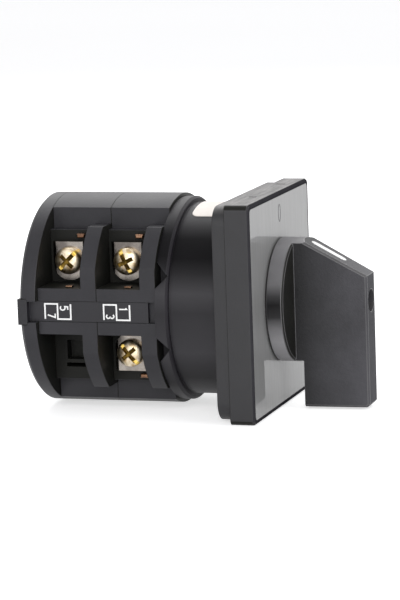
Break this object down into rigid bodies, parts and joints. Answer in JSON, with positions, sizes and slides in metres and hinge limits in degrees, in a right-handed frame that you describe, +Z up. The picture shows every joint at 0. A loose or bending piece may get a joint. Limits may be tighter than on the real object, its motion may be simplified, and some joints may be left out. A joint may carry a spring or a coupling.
{
  "type": "rotary cam switch",
  "caption": "Panel-mounted rotary cam switch with a square front plate, a turn handle and two contact decks with screw terminals.",
  "frame": {"origin": "on the switch axis in the panel face, the rear face of the mounting frame", "axes": "-Y towards the person turning the handle, +Y along the axis to the rear, +Z up, +X to the right of that person"},
  "size_m": [0.045, 0.0696, 0.045],
  "materials": {
    "knob_plastic": "glossy",
    "black_plastic": "satin",
    "dark_plastic": "satin",
    "deck_plastic": "satin",
    "cam_plastic": "satin",
    "strip_plastic": "satin",
    "white_marking": "satin",
    "label_paper": "matte",
    "brushed_legend": "brushed, clear coated",
    "plated_steel": "zinc plated",
    "spring_steel": "drawn wire",
    "contact_brass": "satin",
    "copper_plate": "satin",
    "saddle_steel": "satin",
    "yellow_zinc": "yellow zinc plated"
  },
  "bodies": {
    "base": {"bezel": "black_plastic", "legend_plate": "brushed_legend", "mounting_frame": "black_plastic", "frame_screws": "plated_steel", "front_housing": "dark_plastic", "id_label": "label_paper", "index_plungers": "plated_steel", "index_springs": "spring_steel", "deck_front": "deck_plastic", "deck_rear": "deck_plastic", "rear_cover": "deck_plastic", "label_strip_left": "strip_plastic", "label_strip_right": "strip_plastic", "tie_bolts": "plated_steel", "tie_nuts": "plated_steel", "contact_spring_1_2": "spring_steel", "contact_spring_3_4": "spring_steel", "contact_spring_5_6": "spring_steel", "terminal_1": "copper_plate", "terminal_pips_1": "copper_plate", "saddle_1": "saddle_steel", "terminal_screw_1": "yellow_zinc", "terminal_2": "copper_plate", "terminal_pips_2": "copper_plate", "saddle_2": "saddle_steel", "terminal_screw_2": "yellow_zinc", "terminal_3": "copper_plate", "terminal_pips_3": "copper_plate", "saddle_3": "saddle_steel", "terminal_screw_3": "yellow_zinc", "terminal_4": "copper_plate", "terminal_pips_4": "copper_plate", "saddle_4": "saddle_steel", "terminal_screw_4": "yellow_zinc", "terminal_5": "copper_plate", "terminal_pips_5": "copper_plate", "saddle_5": "saddle_steel", "terminal_screw_5": "yellow_zinc", "terminal_6": "copper_plate", "terminal_pips_6": "copper_plate", "saddle_6": "saddle_steel", "terminal_screw_6": "yellow_zinc"},
    "handle": {"knob": "knob_plastic", "pointer_line": "white_marking", "handle_screw": "plated_steel", "shaft": "plated_steel", "index_wheel": "dark_plastic", "cam_front": "cam_plastic", "cam_rear": "cam_plastic"},
    "pole_1_2": {"plunger_1_2": "cam_plastic", "bridge_1_2": "contact_brass"},
    "pole_3_4": {"plunger_3_4": "cam_plastic", "bridge_3_4": "contact_brass"},
    "pole_5_6": {"plunger_5_6": "cam_plastic", "bridge_5_6": "contact_brass"}
  },
  "joints": [
    {"name": "handle_turn", "type": "hinge", "parent": "base", "child": "handle", "pos_m": [0, 0, 0], "axis": [0, 1, 0], "range_deg": [0, 60]},
    {"name": "pole_1_2_travel", "type": "slide", "parent": "base", "child": "pole_1_2", "axis": [0, 0, -1], "range_m": [0, 0.002], "deforming": ["contact_spring_1_2"]},
    {"name": "pole_3_4_travel", "type": "slide", "parent": "base", "child": "pole_3_4", "axis": [0, 0, 1], "range_m": [0, 0.002], "deforming": ["contact_spring_3_4"]},
    {"name": "pole_5_6_travel", "type": "slide", "parent": "base", "child": "pole_5_6", "axis": [0, 0, -1], "range_m": [0, 0.002], "deforming": ["contact_spring_5_6"]}
  ],
  "couplings": [
    {"joint": "handle_turn", "follows": "pole_1_2_travel", "rad_per_m": 523.6},
    {"joint": "pole_3_4_travel", "follows": "pole_1_2_travel", "ratio": 1},
    {"joint": "pole_5_6_travel", "follows": "pole_1_2_travel", "ratio": 1}
  ]
}
